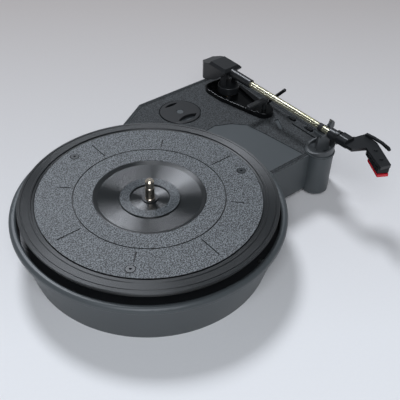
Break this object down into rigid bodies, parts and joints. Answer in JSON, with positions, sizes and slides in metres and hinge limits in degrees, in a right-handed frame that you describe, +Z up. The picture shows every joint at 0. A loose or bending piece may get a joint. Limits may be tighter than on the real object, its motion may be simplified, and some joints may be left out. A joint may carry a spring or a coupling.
{
  "type": "turntable record player",
  "caption": "Belt-drive record player: a round tub with a speckled platter, and a side deck with a pivoted tonearm, cueing lever, switches and a large-hole adapter.",
  "frame": {"origin": "on the spindle's axis at the flat underside of the tub", "axes": "+Z up along the spindle, +X from the spindle towards the tonearm side, +Y towards the tonearm's pivot end"},
  "size_m": [0.2915, 0.2301, 0.0719],
  "materials": {
    "charcoal_shell": "satin moulded plastic with a fine grain on the deck",
    "inner_plastic": "plain black moulding",
    "platter_plastic": "slate-grey speckled moulding",
    "mat_rubber": "speckled slate-grey",
    "button_plastic": "smooth",
    "gloss_black": "polished black",
    "arm_black": "satin black",
    "nickel": "polished nickel",
    "steel": "plain bright",
    "nylon": "natural nylon",
    "motor_case": "zinc-plated can",
    "black_rubber": "matt",
    "brass_part": "turned",
    "board_green": "solder-masked laminate",
    "board_black": "moulded component bodies",
    "weight_iron": "plain",
    "arm_alu": "champagne anodised, brushed",
    "red_plastic": "bright red",
    "ring_alu": "dark anodised"
  },
  "bodies": {
    "chassis": {"chassis": "charcoal_shell", "sub_plate": "inner_plastic", "plate_screws": "steel", "bottom_cover": "inner_plastic", "cover_screws": "steel", "spindle": "nickel", "thrust_washer": "nylon", "spindle_clip": "inner_plastic", "motor": "motor_case", "motor_grommets": "black_rubber", "motor_screws": "steel", "drive_belt": "black_rubber", "circuit_board": "board_green", "board_parts": "board_black", "board_screws": "steel", "arm_base": "gloss_black", "base_screws": "steel", "bearing_bush": "brass_part", "lever_bracket": "inner_plastic", "bracket_screws": "steel", "lever_pin": "steel", "switch_bracket": "inner_plastic", "switch_screws": "steel", "speed_switch": "inner_plastic", "stop_switch": "inner_plastic", "arm_rest": "arm_black", "clip_pin": "steel"},
    "platter": {"platter": "platter_plastic", "mat": "mat_rubber", "mat_buttons": "button_plastic"},
    "pulley": {"motor_pulley": "inner_plastic", "motor_shaft": "steel"},
    "arm_swing": {"arm_turret": "arm_black", "arm_shaft": "steel", "shaft_clip": "steel", "stop_cam": "inner_plastic", "pivot_screws": "steel"},
    "tonearm": {"pivot_block": "arm_black", "arm_housing": "arm_black", "counterweight": "weight_iron", "arm_tube": "arm_alu", "tube_sleeve": "black_rubber", "headshell": "arm_black", "lock_ring": "ring_alu", "finger_lift": "arm_black", "cartridge": "gloss_black", "cartridge_screws": "steel", "stylus_holder": "red_plastic", "stylus": "steel"},
    "cue_lever": {"cue_lever": "arm_black"},
    "cue_platform": {"cue_platform": "arm_black"},
    "arm_clip": {"arm_clip": "arm_black"},
    "speed_slider": {"speed_slider": "arm_black"},
    "stop_slider": {"stop_slider": "arm_black"},
    "adapter": {"adapter_45": "gloss_black"}
  },
  "joints": [
    {"name": "platter_spin", "type": "hinge", "parent": "chassis", "child": "platter", "pos_m": [0, 0, 0.045], "axis": [0, 0, -1], "continuous": true},
    {"name": "pulley_spin", "type": "hinge", "parent": "chassis", "child": "pulley", "pos_m": [-0.072, 0, 0.038], "axis": [0, 0, -1], "continuous": true},
    {"name": "tonearm_swing", "type": "hinge", "parent": "chassis", "child": "arm_swing", "pos_m": [0.159, 0.088, 0.045], "axis": [0, 0, -1], "range_deg": [0, 46]},
    {"name": "tonearm_lift", "type": "hinge", "parent": "arm_swing", "child": "tonearm", "pos_m": [0.159, 0.088, 0.066], "axis": [-1, 0, 0], "range_deg": [0, 9]},
    {"name": "cue_lever", "type": "hinge", "parent": "chassis", "child": "cue_lever", "pos_m": [0.1763, 0.0573, 0.0355], "axis": [-1, 0, 0], "range_deg": [0, 40]},
    {"name": "cue_lift", "type": "slide", "parent": "chassis", "child": "cue_platform", "axis": [0, 0, 1], "range_m": [0, 0.004]},
    {"name": "arm_clip", "type": "hinge", "parent": "chassis", "child": "arm_clip", "pos_m": [0.1658, -0.032, 0.0615], "axis": [0, -1, 0], "range_deg": [0, 45]},
    {"name": "speed_slide", "type": "slide", "parent": "chassis", "child": "speed_slider", "axis": [0, 1, 0], "range_m": [0, 0.003]},
    {"name": "stop_slide", "type": "slide", "parent": "chassis", "child": "stop_slider", "axis": [0, 1, 0], "range_m": [0, 0.003]},
    {"name": "adapter_lift", "type": "slide", "parent": "chassis", "child": "adapter", "axis": [0, 0, 1], "range_m": [0, 0.02]}
  ],
  "couplings": [
    {"joint": "pulley_spin", "follows": "platter_spin", "ratio": 20},
    {"joint": "cue_lift", "follows": "cue_lever", "m_per_rad": 0.0057}
  ]
}
